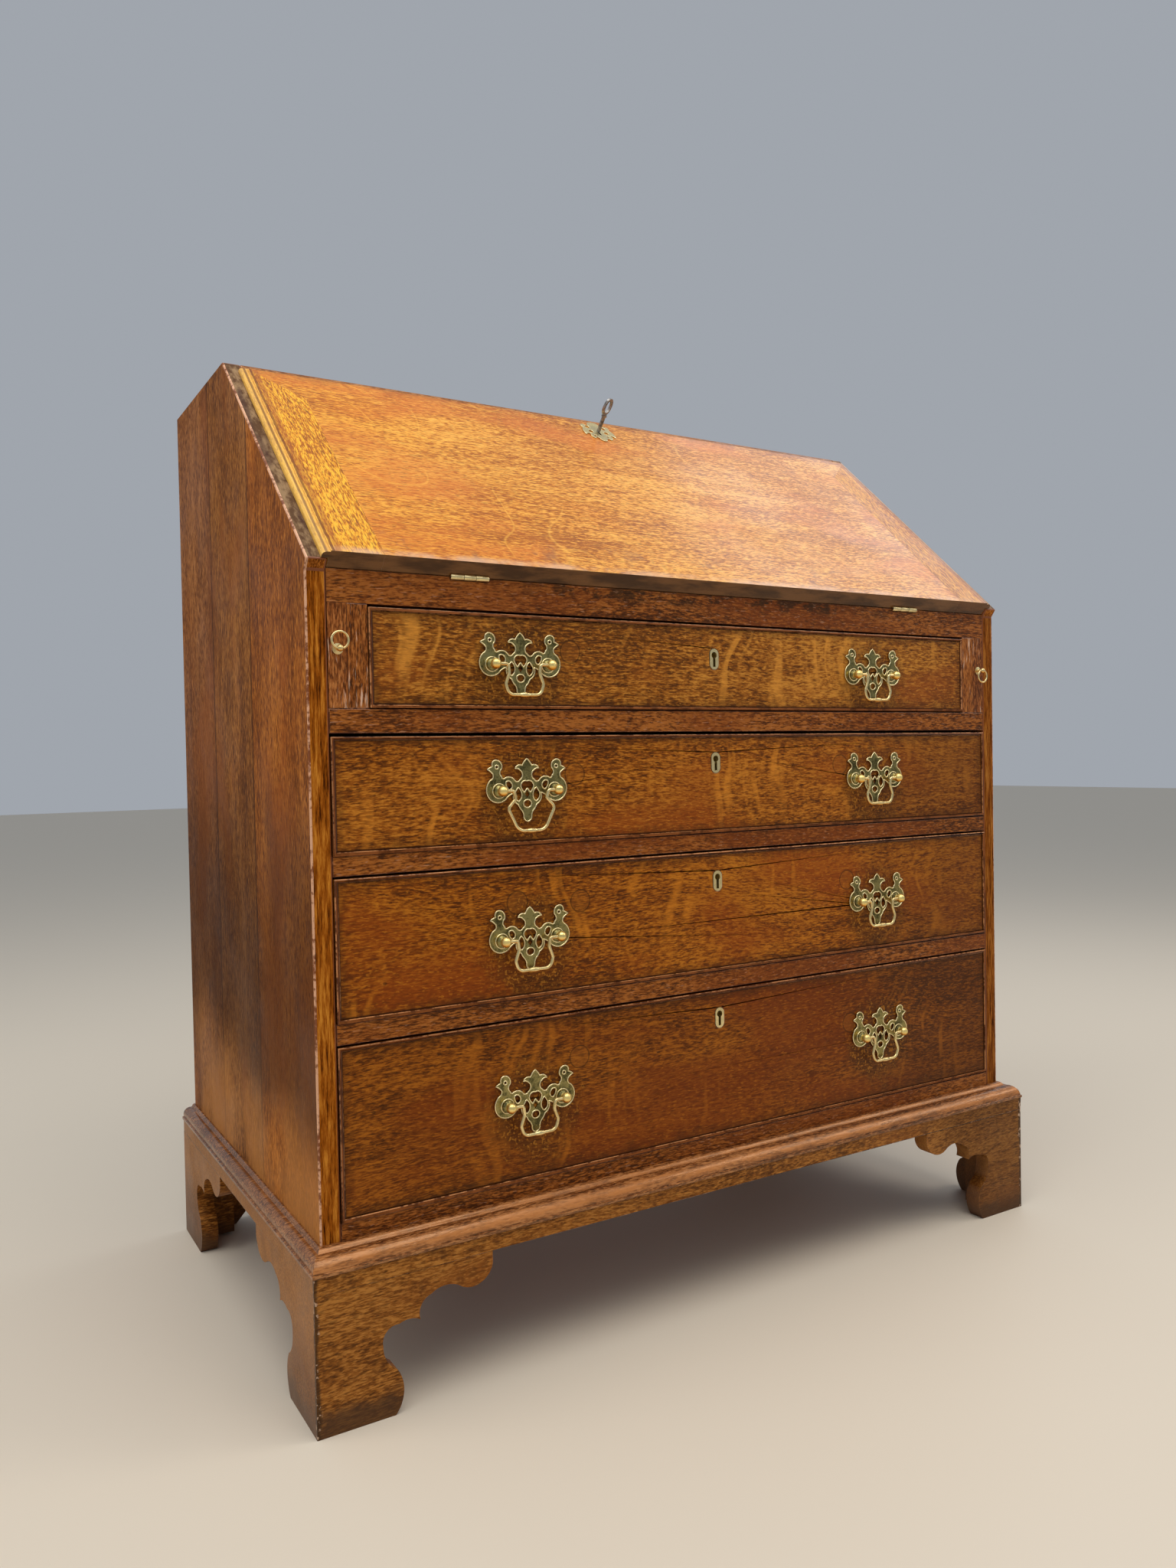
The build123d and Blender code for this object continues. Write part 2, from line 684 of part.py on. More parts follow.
# The plate lies on the drawer front at y = 0 and faces -Y; its origin is midway between the posts.
face_plane = Plane(origin=(0, 0, 0), x_dir=(1, 0, 0), z_dir=(0, -1, 0))
with BuildPart() as plate:
    with BuildSketch(face_plane):
        add(arc_shape(plate_bottom, plate_arcs))
        add(arc_shape(petal_start, petal_arcs), mode=Mode.SUBTRACT)
        add(arc_shape(lobe_start, lobe_arcs), mode=Mode.SUBTRACT)
        add(arc_shape(arch_start, arch_arcs), mode=Mode.SUBTRACT)
        add(arc_shape(tongue_start, tongue_arcs), mode=Mode.SUBTRACT)
        with Locations((34.0, 24.0)):
            Circle(1.9, mode=Mode.SUBTRACT)
        with Locations((bolt_spacing / 2, 0)):
            Circle(2.6, mode=Mode.SUBTRACT)
        mirror(about=Plane.YZ)
        with BuildLine():
            Polyline((0, 0.4), (2.9, -3.8), (0, -8.0), (-2.9, -3.8), close=True)
        make_face(mode=Mode.SUBTRACT)
    extrude(amount=plate_thickness)

# Post: shank and nut behind, collar, neck and a round head that the bail's end enters. (radius, outward)
head_radius = 5.4
post_profile = [
    (2.5, -25),
    (2.5, plate_thickness),
    (5.4, plate_thickness),
    (5.4, plate_thickness + 1.0),
    (3.4, plate_thickness + 2.2),
    neck_end(3.0, head_radius, post_stand),
]
bail_wire = 1.8
bail_clearance = 0.06
post = turned(post_profile, head_radius, post_stand)
with BuildPart() as square_nut:
    add(block((-4.5, 4.5), (20.0, 23.6), (-4.5, 4.5)))
    with Locations(Location((0, 22, 0), (90, 0, 0))):
        Cylinder(2.5, 8, mode=Mode.SUBTRACT)


def post_for(side):
    """A post whose head is bored from the inner side for the bail's end."""
    with BuildPart() as piece:
        add(post)
        with Locations(Location((-side * 4.0, -post_stand, 0), (0, 90, 0))):
            Cylinder(bail_wire + bail_clearance, 12.0, mode=Mode.SUBTRACT)
    return piece.part


posts = {side: post_for(side) for side in (-1, 1)}


def bail(corners, radii, bottom_swell):
    """A swan-neck bail hanging from its pin ends, which lie on the X axis; corners are its right half."""
    pin_end = (bolt_spacing / 2 + 1.4, 0)
    right = [pin_end] + corners
    left = [(-x, z) for x, z in reversed(right)]
    with BuildPart() as piece:
        with BuildLine(face_plane):
            FilletPolyline(*right, *left, radius=radii + radii[::-1])
        with BuildSketch(Plane(origin=(pin_end[0], 0, 0), z_dir=(-1, 0, 0))):
            Circle(bail_wire)
        sweep()
        bottom = corners[-1][1]
        with BuildSketch(face_plane):
            with BuildLine():
                Line((-10, bottom), (10, bottom))
                ThreePointArc((10, bottom), (0, bottom + bottom_swell), (-10, bottom))
            make_face()
        revolve(axis=Axis((0, 0, bottom), (1, 0, 0)))
    return piece.part


swan_bail = bail([(18.4, 0), (17.2, -9.0), (21.4, -20.0), (18.0, -30.6)], [3.0, 6.0, 6.0, 7.5], 2.6)
long_bail = bail([(20.0, 0), (17.4, -8.0), (26.6, -17.4), (15.0, -40.4)], [3.0, 4.0, 5.0, 11.0], 2.4)

# --- drawers ----------------------------------------------------------------------------------------------
front_thickness = 20.0
bead = 3.0
bead_depth = 10.5
bead_stand = 1.4
drawer_side = 10.0
drawer_length = 490.0
drawer_floor = 7.0


def bead_strip(points):
    """One mitred length of cockbead, let into the edge of a drawer front."""
    return prism(Plane.XZ.offset(-front - bead_depth), points, bead_depth + bead_stand)


for i, (low, high) in enumerate(openings):
    name = f"drawer_{i + 1}"
    half_opening_x = (partition_x - partition / 2) if i == 0 else inner
    edge = half_opening_x - 0.9
    bottom = low + 1.0
    top = high - top_gaps[i]
    key_z = keyhole_heights[i]
    post_z = post_heights[i]
    lock_low = key_z - 20

    with BuildPart() as drawer_front:
        with Locations((0, front + front_thickness / 2, (bottom + top) / 2)):
            Box(2 * edge, front_thickness, top - bottom)
        with Locations((0, front + bead_depth / 2, (bottom + top) / 2)):
            Box(2 * edge, bead_depth, top - bottom, mode=Mode.SUBTRACT)
            Box(2 * (edge - bead), bead_depth, top - bottom - 2 * bead)
        for x in handle_places[i]:
            for offset in (-bolt_spacing / 2, bolt_spacing / 2):
                with Locations(Location((x + offset, front + front_thickness / 2, post_z), (90, 0, 0))):
                    Cylinder(2.6, front_thickness + 2, mode=Mode.SUBTRACT)
        with BuildSketch(Plane(origin=(0, front, key_z), x_dir=(1, 0, 0), z_dir=(0, -1, 0))):
            SlotOverall(23, 12, rotation=90)
        extrude(amount=-8, mode=Mode.SUBTRACT)
        with Locations((0, front + 8 + 6, lock_low + 22)):
            Box(60, 12, 44, mode=Mode.SUBTRACT)
    corners_out = [(-edge, bottom), (edge, bottom), (edge, top), (-edge, top)]
    corners_in = [
        (-edge + bead, bottom + bead),
        (edge - bead, bottom + bead),
        (edge - bead, top - bead),
        (-edge + bead, top - bead),
    ]
    pieces = [drawer_front.part]
    for j in range(4):
        k = (j + 1) % 4
        pieces.append(bead_strip([corners_out[j], corners_out[k], corners_in[k], corners_in[j]]))
    save_group(pieces, f"{name}_front")

    box_front = front + front_thickness
    box_back = front + drawer_length
    box_low = low + 0.3
    box_top = high - 5.0
    box_pieces = []
    for side in (-1, 1):
        span = sorted((side * edge, side * (edge - drawer_side)))
        box_pieces.append(block(span, (box_front, box_back), (box_low, box_top)))
    inside_x = (-edge + drawer_side, edge - drawer_side)
    box_pieces.append(block(inside_x, (box_back - drawer_side, box_back), (box_low + 4, box_top - 3)))
    floor_z = (box_low + 4, box_low + 4 + drawer_floor)
    box_pieces.append(block(inside_x, (box_front, box_back - drawer_side), floor_z))
    save_group(box_pieces, f"{name}_box")

    with BuildPart() as liner:
        with BuildSketch(Plane(origin=(0, front - 0.3, key_z), x_dir=(1, 0, 0), z_dir=(0, -1, 0))):
            SlotOverall(23, 12, rotation=90)
            with Locations((0, 4.4)):
                Circle(3.6, mode=Mode.SUBTRACT)
            with Locations((0, -2.2)):
                Rectangle(3.4, 13.0, mode=Mode.SUBTRACT)
        extrude(amount=-8.3)
    with BuildPart() as case:
        with Locations((0, front + 14, lock_low + 22)):
            Box(60, 12, 44)
        with BuildSketch(Plane(origin=(0, front + 7, key_z), x_dir=(1, 0, 0), z_dir=(0, -1, 0))):
            with Locations((0, 4.4)):
                Circle(3.6)
            with Locations((0, -2.2)):
                Rectangle(3.4, 13.0)
        extrude(amount=-11, mode=Mode.SUBTRACT)
    save_group([liner.part, case.part], f"{name}_lock")

    mounts = []
    for x, hand in zip(handle_places[i], ("left", "right")):
        mounts.append(plate.part.moved(Location((x, front, post_z))))
        for end in (-1, 1):
            at = Location((x + end * bolt_spacing / 2, front, post_z))
            mounts += [posts[end].moved(at), square_nut.part.moved(at)]
        shape = long_bail if (i, hand) == (1, "left") else swan_bail
        save(shape.moved(Location((x, front - post_stand, post_z))), f"{name}_bail_{hand}")
    save_group(mounts, f"{name}_handle_mounts")

# --- fitted interior: pigeonholes over a row of small drawers --------------------------------------------------
case_board = 8.0
case_front = stop_back + 2
case_top = height - board
case_low = hinge_height
drawer_row = 62.0
shelf_low = case_low + drawer_row
columns = 4
case_x = inner - case_board
column = (2 * case_x - (columns - 1) * case_board) / columns
case_y = (case_front, inside_back)
boards = [
    block((-inner, -case_x), case_y, (case_low, case_top)),
    block((case_x, inner), case_y, (case_low, case_top)),
    block((-case_x, case_x), case_y, (shelf_low, shelf_low + case_board)),
]
for i in range(columns - 1):
    x = -case_x + (i + 1) * column + i * case_board
    boards.append(block((x, x + case_board), case_y, (case_low, shelf_low)))
holes = 6
hole = (2 * case_x - (holes - 1) * case_board) / holes
for i in range(holes - 1):
    x = -case_x + (i + 1) * hole + i * case_board
    boards.append(block((x, x + case_board), case_y, (shelf_low + case_board, case_top)))
save_group(boards, "pigeonhole_case")

small_side = 6.0
small_length = 170.0
for i in range(columns):
    x = (-case_x + i * (column + case_board) + 0.7, -case_x + i * (column + case_board) + column - 0.7)
    z = (case_low + 0.6, shelf_low - 0.8)
    middle = sum(x) / 2
    y = (case_front + 1, case_front + 1 + small_length)
    knob = turned([(5.0, 0), (5.0, 1.0), (3.4, 2.0), neck_end(2.8, 5.6, 9.0)], 5.6, 9.0)
    body_y = (y[0] + 10, y[1])
    parts = [
        block(x, (y[0], y[0] + 10), z),
        block((x[0], x[0] + small_side), body_y, (z[0], z[1] - 4)),
        block((x[1] - small_side, x[1]), body_y, (z[0], z[1] - 4)),
        block((x[0] + small_side, x[1] - small_side), (y[1] - small_side, y[1]), (z[0], z[1] - 6)),
        block((x[0] + small_side, x[1] - small_side), (y[0] + 10, y[1] - small_side), (z[0], z[0] + 5)),
        knob.moved(Location((middle, y[0], sum(z) / 2))),
    ]
    save_group(parts, f"small_drawer_{i + 1}")
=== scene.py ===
import json
import math

import bpy
from mathutils import Matrix, Vector


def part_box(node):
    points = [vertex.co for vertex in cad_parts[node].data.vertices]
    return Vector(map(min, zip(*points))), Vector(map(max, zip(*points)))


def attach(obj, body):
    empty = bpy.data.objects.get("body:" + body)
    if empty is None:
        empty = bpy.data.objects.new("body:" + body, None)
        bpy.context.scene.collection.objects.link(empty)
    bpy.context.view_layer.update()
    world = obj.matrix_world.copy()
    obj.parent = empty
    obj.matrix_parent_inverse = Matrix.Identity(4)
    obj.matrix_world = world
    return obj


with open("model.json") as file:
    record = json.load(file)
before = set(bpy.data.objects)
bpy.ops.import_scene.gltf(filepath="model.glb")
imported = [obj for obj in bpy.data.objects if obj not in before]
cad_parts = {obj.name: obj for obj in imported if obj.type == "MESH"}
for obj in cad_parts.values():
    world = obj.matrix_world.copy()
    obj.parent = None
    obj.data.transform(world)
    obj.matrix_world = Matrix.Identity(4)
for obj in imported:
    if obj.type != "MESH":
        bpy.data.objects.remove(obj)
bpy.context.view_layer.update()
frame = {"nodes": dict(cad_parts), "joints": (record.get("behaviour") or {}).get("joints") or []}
nodes = frame["nodes"]
joints = {j["name"]: j for j in frame["joints"]}

# --- facts taken from the frame -----------------------------------------------------------------------
hinge_point = Vector(joints["fall_swing"]["pos_m"])
key_axis = Vector(joints["key_turn"]["axis"])
slope = math.atan2(-key_axis.y, key_axis.z)
up_slope = Vector((0, math.cos(slope), math.sin(slope)))
off_slope = Vector((0, -math.sin(slope), math.cos(slope)))
carcass_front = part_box("drawer_rails")[0].y
fall_half = -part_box("fall_clamps")[0].x
handles = {n: Vector(j["pos_m"]) for n, j in joints.items() if n.startswith("bail_")}
inner_half = -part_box("side_left")[1].x
back_pitch = inner_half / 2  # four boards across the back
post_reach = 0.03175  # from the middle of a handle to either post
post_ring = 0.0072  # radius of the raised ring round a post
plug_radius = 0.0115  # of the plugs where earlier handles were fixed
front_joint, back_joint = -0.057, 0.108  # where the three boards of a side meet
fall_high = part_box("fall_panel")[1]
foot_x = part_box("foot_front_right")[1].x
foot_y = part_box("foot_front_right")[0].y
fall_length = (Vector((0, fall_high.y, fall_high.z)) - hinge_point).dot(up_slope)


# --- camera, light and floor --------------------------------------------------------------------------
def make_camera():
    """The viewpoint: low, close, off the piece's left front corner."""
    place = Vector((-0.7818, -1.26405, 0.6102))
    yaw, pitch, roll = (math.radians(a) for a in (31.127, 1.376, -1.046))
    forward = Vector((math.sin(yaw) * math.cos(pitch), math.cos(yaw) * math.cos(pitch), -math.sin(pitch)))
    level = Vector((math.cos(yaw), -math.sin(yaw), 0))
    up = level.cross(forward)
    right = math.cos(roll) * level + math.sin(roll) * up
    up = -math.sin(roll) * level + math.cos(roll) * up
    data = bpy.data.cameras.new("camera")
    data.sensor_width = 36.0
    data.lens = 26.03
    camera = bpy.data.objects.new("camera", data)
    camera.matrix_world = Matrix.Translation(place) @ Matrix((right, up, -forward)).transposed().to_4x4()
    bpy.context.scene.collection.objects.link(camera)
    bpy.context.scene.camera = camera
    bpy.context.scene.view_settings.view_transform = "Standard"


def area_light(name, place, target, size, power, colour):
    """A rectangular light at place that looks at target."""
    data = bpy.data.lights.new(name, "AREA")
    data.shape = "RECTANGLE"
    data.size, data.size_y = size
    data.energy = power
    data.color = colour
    light = bpy.data.objects.new(name, data)
    light.location = place
    light.rotation_mode = "QUATERNION"
    light.rotation_quaternion = (Vector(target) - Vector(place)).to_track_quat("-Z", "Y")
    bpy.context.scene.collection.objects.link(light)


def make_light():
    """A soft room: a broad ceiling light, a window behind at the right that glazes the fall, one in front at
    the right that runs along the mouldings, and a weak light at the left.
    """
    world = bpy.data.worlds.new("studio")
    bpy.context.scene.world = world
    world.use_nodes = True
    background = world.node_tree.nodes["Background"]
    background.inputs["Color"].default_value = (0.80, 0.86, 0.95, 1)
    background.inputs["Strength"].default_value = 0.44
    area_light("ceiling", (-0.5, -0.9, 2.9), (-0.1, -0.1, 0.6), (3.0, 2.2), 55, (1.0, 0.96, 0.90))
    area_light("window", (2.0, 0.55, 2.4), (0.3, 0, 0.9), (1.3, 1.3), 9, (0.95, 0.97, 1.0))
    area_light("front_window", (2.7, -1.5, 2.7), (0, -0.2, 0.3), (1.2, 1.6), 20, (1.0, 0.88, 0.76))
    area_light("left", (-2.9, 0.5, 2.3), (-0.4, 0, 0.8), (1.4, 1.6), 17, (1.0, 0.95, 0.90))


def make_floor():
    """A plain pale floor."""
    bpy.ops.mesh.primitive_plane_add(size=30, location=(0, 0, 0))
    floor = bpy.context.object
    floor.name = "floor"
    material = bpy.data.materials.new("floor")
    material.use_nodes = True
    shader = material.node_tree.nodes["Principled BSDF"]
    shader.inputs["Base Color"].default_value = (0.74, 0.66, 0.54, 1)
    shader.inputs["Roughness"].default_value = 0.6
    floor.data.materials.append(material)


# --- material graphs ----------------------------------------------------------------------------------
def srgb(r, g, b):
    """A colour given as 0 to 255 in sRGB, as linear numbers."""
    return tuple(c / 255 / 12.92 if c <= 10 else ((c / 255 + 0.055) / 1.055) ** 2.4 for c in (r, g, b))


def dim(colour, amount):
    """The colour times amount, which may also brighten it."""
    return tuple(min(1.0, c * amount) for c in colour)


class Graph:
    """A material's node tree, with one short call per kind of node. Inputs are sockets or plain values."""

    def __init__(self, name):
        self.material = bpy.data.materials.new(name)
        self.material.use_nodes = True
        self.tree = self.material.node_tree
        self.shader = self.tree.nodes["Principled BSDF"]
        coordinates = self.node("ShaderNodeTexCoord")
        self.place = coordinates.outputs["Object"]
        self.normal = coordinates.outputs["Normal"]

    def node(self, kind, **settings):
        """A new node of that kind with these attributes."""
        made = self.tree.nodes.new(kind)
        for key, value in settings.items():
            setattr(made, key, value)
        return made

    def put(self, socket, value):
        """Links a socket to this input, or sets the input to a plain value."""
        if isinstance(value, bpy.types.NodeSocket):
            self.tree.links.new(value, socket)
        else:
            socket.default_value = value

    def mapped(self, rotation=(0, 0, 0), scale=(1, 1, 1), location=(0, 0, 0), source=None):
        """The source, or the object's own coordinates, scaled, turned and then shifted."""
        made = self.node("ShaderNodeMapping")
        self.put(made.inputs["Vector"], source or self.place)
        made.inputs["Rotation"].default_value = rotation
        made.inputs["Scale"].default_value = scale
        made.inputs["Location"].default_value = location
        return made.outputs["Vector"]

    def noise(self, scale, detail=2.0, rough=0.55, source=None, shift=(0, 0, 0)):
        """Noise whose cells are 1/scale long along each axis, in metres."""
        made = self.node("ShaderNodeTexNoise")
        self.put(made.inputs["Vector"], self.mapped(scale=scale, source=source, location=shift))
        made.inputs["Scale"].default_value = 1.0
        made.inputs["Detail"].default_value = detail
        made.inputs["Roughness"].default_value = rough
        return made.outputs["Fac"]

    def cells(self, scale, source):
        """The distance to the nearest of scattered points, about 1/scale apart."""
        made = self.node("ShaderNodeTexVoronoi")
        self.put(made.inputs["Vector"], self.mapped(scale=scale, source=source))
        made.inputs["Scale"].default_value = 1.0
        return made.outputs["Distance"]

    def math(self, operation, a, b=0.0):
        made = self.node("ShaderNodeMath", operation=operation)
        self.put(made.inputs[0], a)
        self.put(made.inputs[1], b)
        return made.outputs[0]

    def times(self, first, *others):
        """The product of all of them."""
        for other in others:
            first = self.math("MULTIPLY", first, other)
        return first

    def vector(self, operation, a, b):
        made = self.node("ShaderNodeVectorMath", operation=operation)
        self.put(made.inputs[0], a)
        self.put(made.inputs[1], b)
        return made.outputs["Value" if operation in ("DISTANCE", "DOT_PRODUCT") else "Vector"]

    def step(self, value, low, high, out_low=0.0, out_high=1.0):
        """value remapped from (low, high) to (out_low, out_high), smooth and clamped."""
        if low > high:
            low, high, out_low, out_high = high, low, out_high, out_low
        made = self.node("ShaderNodeMapRange", interpolation_type="SMOOTHSTEP")
        self.put(made.inputs["Value"], value)
        for key, number in (("From Min", low), ("From Max", high), ("To Min", out_low), ("To Max", out_high)):
            made.inputs[key].default_value = number
        return made.outputs["Result"]

    def band(self, value, middle, half, soft):
        """1 where value is within half of middle, fading to 0 over soft."""
        away = self.math("ABSOLUTE", self.math("SUBTRACT", value, middle))
        return self.step(away, half + soft, half)

    def facing(self, direction, low=0.80, high=0.95):
        """1 on surfaces that look along direction."""
        return self.step(self.vector("DOT_PRODUCT", self.normal, tuple(direction)), low, high)

    def mix(self, amount, a, b, blend="MIX"):
        """Colour a, with b over it by amount."""
        made = self.node("ShaderNodeMix", data_type="RGBA", blend_type=blend)
        self.put(made.inputs[0], amount)
        for i, colour in ((6, a), (7, b)):
            self.put(made.inputs[i], (*colour, 1) if isinstance(colour, tuple) else colour)
        return made.outputs[2]

    def tinted(self, amount, colour, factors):
        """The colour multiplied by factors, by amount."""
        return self.mix(amount, colour, self.mix(1.0, colour, factors, "MULTIPLY"))

    def jitter(self, value, noise, reach):
        """value pushed up and down by noise, by up to half of reach."""
        return self.math("ADD", value, self.times(self.math("SUBTRACT", noise, 0.5), reach))

    def ramp(self, value, stops):
        """A colour for value, from stops of (position, colour)."""
        made = self.node("ShaderNodeValToRGB")
        self.put(made.inputs["Fac"], value)
        elements = made.color_ramp.elements
        while len(elements) < len(stops):
            elements.new(0.5)
        for element, (at, colour) in zip(elements, stops):
            element.position = at
            element.color = (*colour, 1)
        return made.outputs["Color"]

    def separate(self, source=None):
        """The x, y and z of the source, or of the object's own coordinates."""
        made = self.node("ShaderNodeSeparateXYZ")
        self.put(made.inputs[0], source or self.place)
        return made.outputs

    def combine(self, x, y, z):
        made = self.node("ShaderNodeCombineXYZ")
        for i, value in enumerate((x, y, z)):
            self.put(made.inputs[i], value)
        return made.outputs[0]

    def bump(self, height, strength, distance):
        """Relief from height, up to distance deep in metres, on the whole shader."""
        made = self.node("ShaderNodeBump")
        made.inputs["Strength"].default_value = strength
        made.inputs["Distance"].default_value = distance
        self.put(made.inputs["Height"], height)
        self.put(self.shader.inputs["Normal"], made.outputs["Normal"])

    def finish(self, colour, roughness, metal=0.0, coat=0.0, coat_roughness=0.2, specular=0.5, tint=(1, 1, 1)):
        """Connects the colour and roughness, and sets the shader's uniform values."""
        self.put(self.shader.inputs["Base Color"], colour)
        self.put(self.shader.inputs["Roughness"], roughness)
        self.shader.inputs["Metallic"].default_value = metal
        self.shader.inputs["Coat Weight"].default_value = coat
        self.shader.inputs["Coat Roughness"].default_value = coat_roughness
        self.shader.inputs["Specular IOR Level"].default_value = specular
        self.shader.inputs["Specular Tint"].default_value = (*tint, 1)
        return self.material


# --- oak ----------------------------------------------------------------------------------------------
def grain_space(g, along, tilt=0.0, offset=0.0):
    """The object's coordinates turned so that the grain, along x, y or z, runs along X. tilt is about X."""
    turn = {"x": (0, 0, 0), "y": (0, 0, -math.pi / 2), "z": (0, math.pi / 2, 0)}[along]
    source = g.mapped(rotation=(-tilt, 0, 0)) if tilt else g.place
    return g.mapped(rotation=turn, location=(offset, offset * 0.37, offset * 0.71), source=source)


def oak(name, along, tones, offset, tilt=0.0, warm=None, dashes=0.6, specks=0.5, contrast=1.0, rays=0.0,
        curls=0.0, rough=0.45, coat=0.0, specular=0.40, tint=(1.0, 0.60, 0.28), touch=None):
    """Waxed old oak: soft patches, growth bands, short dark pores, bright flecks, rays and small dents.

    tones is its dark, middle and light colour in sRGB, warm the colour of its redder patches, and offset tells
    one board's grain from another's.
    """
    dark, mid, light = (srgb(*tone) for tone in tones)
    g = Graph(name)
    p = grain_space(g, along, tilt, offset)
    drift = g.times(g.math("SUBTRACT", g.noise((2, 5, 5), source=p), 0.5), 0.05)
    q = g.vector("ADD", p, g.combine(0.0, drift, drift))

    patch = g.noise((3, 7, 7), 3.0, 0.6, source=q)
    bands = g.noise((1.5, 45, 45), 3.0, 0.6, source=q)
    strands = g.noise((38, 300, 300), 3.0, 0.65, source=q)
    fine = g.noise((130, 640, 640), 2.0, 0.6, source=q)
    tone = 0.5
    for layer, weight in ((patch, 0.55), (bands, 0.30), (strands, 0.62), (fine, 1.05)):
        tone = g.jitter(tone, layer, weight * contrast)
    colour = g.ramp(tone, [(0.32, dark), (0.50, mid), (0.68, light)])

    if warm:
        where = g.step(g.noise((4, 9, 9), 2.0, source=p, shift=(5, 2, 8)), 0.48, 0.66)
        colour = g.mix(g.times(where, 0.65), colour, srgb(*warm))
    if rays:
        bend = g.vector("ADD", p, g.combine(g.times(g.noise((5, 8, 8), 1.0, source=p), 0.12), 0.0, 0.0))
        ray = g.step(g.noise((75, 11, 11), 1.0, source=bend), 0.53, 0.70)
        where = g.step(g.noise((6, 5, 5), 1.0, source=p, shift=(3, 1, 7)), 0.44, 0.64)
        colour = g.mix(g.times(ray, where, rays), colour, dim(light, 1.30))
    if curls:
        curl = g.band(g.noise((9, 6, 6), 1.0, source=p, shift=(1, 9, 4)), 0.5, 0.0015, 0.006)
        where = g.step(g.noise((7, 7, 7), 1.0, source=p, shift=(8, 3, 2)), 0.50, 0.60)
        colour = g.mix(g.times(curl, where, curls), colour, dim(light, 1.25))

    pore = g.step(g.noise((105, 560, 560), 1.0, 0.5, source=q, shift=(2, 7, 3)), 0.56, 0.70)
    colour = g.mix(g.times(pore, dashes), colour, dim(dark, 0.45))
    fleck = g.step(g.noise((150, 540, 540), 1.0, 0.5, source=q, shift=(6, 1, 5)), 0.58, 0.70)
    colour = g.mix(g.times(fleck, specks), colour, dim(light, 1.15))
    dent = g.step(g.cells((38, 62, 62), source=p), 0.11, 0.06)
    dent = g.times(dent, g.step(g.noise((11, 11, 11), 1.0, source=p), 0.54, 0.62))
    colour = g.mix(g.times(dent, 0.65), colour, dim(dark, 0.35))
    if touch:
        colour = touch(g, colour)

    roughness = g.step(g.noise((7, 9, 9), 4.0, 0.6, source=p), 0.3, 0.7, rough - 0.08, rough + 0.12)
    height = g.math("SUBTRACT", g.times(strands, 0.8), g.times(pore, 0.7))
    height = g.math("SUBTRACT", height, g.times(dent, 1.5))
    g.bump(height, 0.35, 0.0005)
    return g.finish(colour, roughness, coat=coat, coat_roughness=0.14, specular=specular, tint=tint)


def arris(name, base, worn, amount, along=40.0, toward=None):
    """A rubbed edge: pale wood where hands and dusters have worn it, broken by the old darker finish.

    toward names the sides that are worn: "out" for the piece's own left or right, "up" for up and left, where
    the pale is partly wear and partly a painted highlight.
    """
    g = Graph(name)
    broad = g.noise((along, along, along), 3.0, 0.65)
    nick = g.noise((230, 230, 230), 2.0, 0.6, shift=(4, 4, 1))
    value = g.math("ADD", g.times(broad, 0.6), g.times(nick, 0.4))
    centre = 0.5 + 0.25 * (0.5 - amount)
    rubbed = g.step(value, centre - 0.06, centre + 0.06)
    if toward == "out":
        outward = g.times(g.separate(g.normal)[0], g.math("SIGN", g.separate()[0]))
        rubbed = g.times(rubbed, g.step(outward, 0.1, 0.4))
    # Pale only on edges facing up or left: partly wear, partly a painted highlight from the light above and at
    # the left.
    if toward == "up":
        upward, leftward = g.facing((0, 0, 1), 0.2, 0.5), g.facing((-1, 0, 0), 0.2, 0.5)
        rubbed = g.times(rubbed, g.math("MAXIMUM", upward, leftward))
    colour = g.mix(rubbed, base, worn)
    g.bump(nick, 0.3, 0.0004)
    return g.finish(colour, 0.4, specular=0.4)


